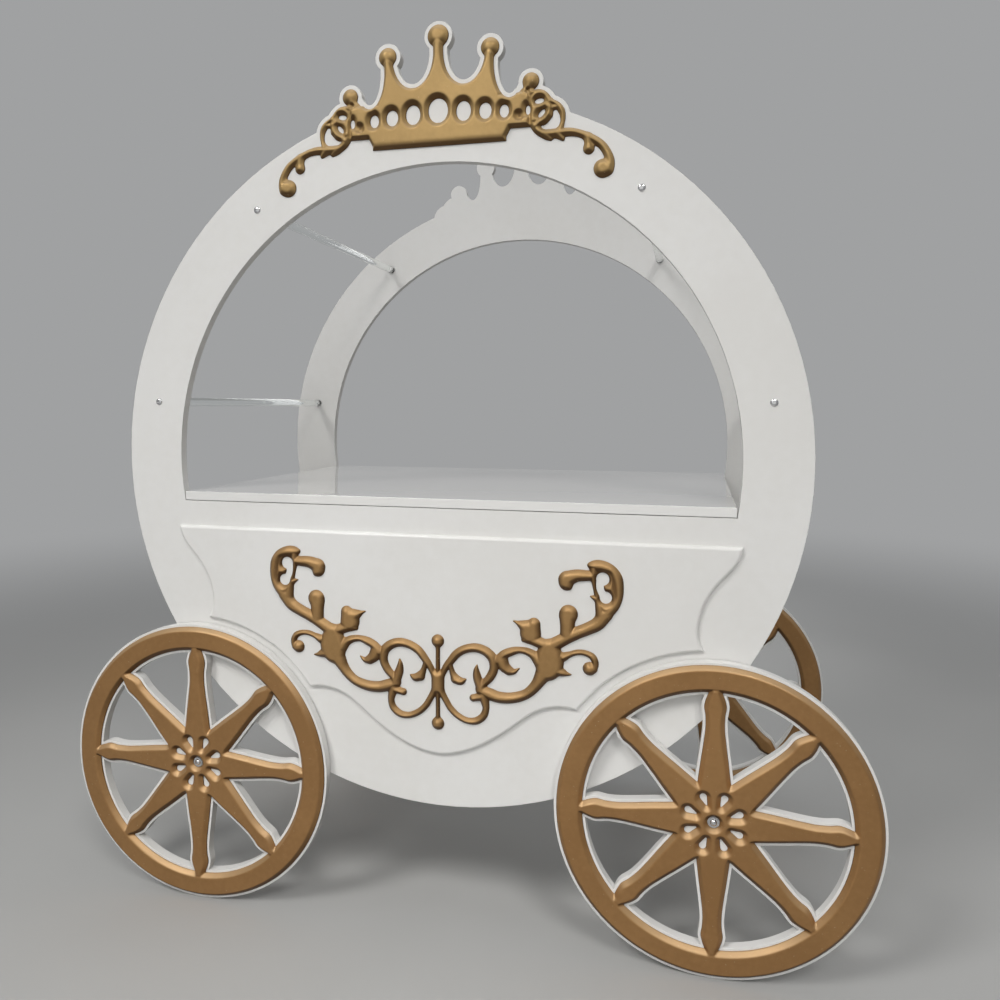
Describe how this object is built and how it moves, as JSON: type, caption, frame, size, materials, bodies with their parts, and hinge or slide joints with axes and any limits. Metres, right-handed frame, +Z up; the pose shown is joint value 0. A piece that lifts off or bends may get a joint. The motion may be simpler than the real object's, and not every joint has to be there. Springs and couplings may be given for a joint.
{
  "type": "candy cart",
  "caption": "Carriage-shaped candy cart: round boards with a window and crown, countertop between them, gold scroll reliefs and spoked wheels.",
  "frame": {"origin": "on the floor, under the middle of the whole cart", "axes": "+Z up; +X to the right as seen from the front; the front with the apron and crown faces -Y"},
  "size_m": [1.6659, 0.818, 1.7989],
  "materials": {
    "white_board": "white lacquered board, satin",
    "gloss_top": "white lacquered board, high gloss",
    "gold": "carved relief in satin gold paint",
    "clear_rod": "clear, polished",
    "steel": "zinc plated",
    "black_steel": "black, satin",
    "nylon": "moulded",
    "batten_wood": "planed"
  },
  "bodies": {
    "cart": {"apron": "white_board", "arm_screws": "steel", "axle_bolts": "steel", "axle_nuts": "steel", "axle_spacers": "steel", "axle_washers": "steel", "bottom_panel": "white_board", "bracket_screws": "steel", "corner_brackets": "steel", "crown_relief": "gold", "front_board": "white_board", "front_left_axle_arm": "black_steel", "front_right_axle_arm": "black_steel", "left_side_panel": "white_board", "lower_left_rod": "clear_rod", "lower_right_rod": "clear_rod", "rear_board": "white_board", "rear_left_axle_arm": "black_steel", "rear_right_axle_arm": "black_steel", "right_side_panel": "white_board", "rod_screws": "steel", "scroll_relief": "gold", "upper_left_rod": "clear_rod", "upper_right_rod": "clear_rod"},
    "top": {"countertop": "gloss_top", "front_batten": "batten_wood", "rear_batten": "batten_wood"},
    "front_left_wheel": {"front_left_wheel_board": "white_board", "front_left_wheel_relief": "gold", "front_left_hub_bush": "nylon"},
    "front_right_wheel": {"front_right_wheel_board": "white_board", "front_right_wheel_relief": "gold", "front_right_hub_bush": "nylon"},
    "rear_left_wheel": {"rear_left_wheel_board": "white_board", "rear_left_wheel_relief": "gold", "rear_left_hub_bush": "nylon"},
    "rear_right_wheel": {"rear_right_wheel_board": "white_board", "rear_right_wheel_relief": "gold", "rear_right_hub_bush": "nylon"}
  },
  "joints": [
    {"name": "front_left_wheel_turn", "type": "hinge", "parent": "cart", "child": "front_left_wheel", "pos_m": [-0.535, -0.39, 0.298], "axis": [0, 1, 0], "continuous": true},
    {"name": "front_right_wheel_turn", "type": "hinge", "parent": "cart", "child": "front_right_wheel", "pos_m": [0.535, -0.39, 0.298], "axis": [0, 1, 0], "continuous": true},
    {"name": "rear_left_wheel_turn", "type": "hinge", "parent": "cart", "child": "rear_left_wheel", "pos_m": [-0.535, 0.365, 0.298], "axis": [0, 1, 0], "continuous": true},
    {"name": "rear_right_wheel_turn", "type": "hinge", "parent": "cart", "child": "rear_right_wheel", "pos_m": [0.535, 0.365, 0.298], "axis": [0, 1, 0], "continuous": true},
    {"name": "top_lift", "type": "slide", "parent": "cart", "child": "top", "axis": [0, 0, 1], "range_m": [0, 0.15]}
  ]
}
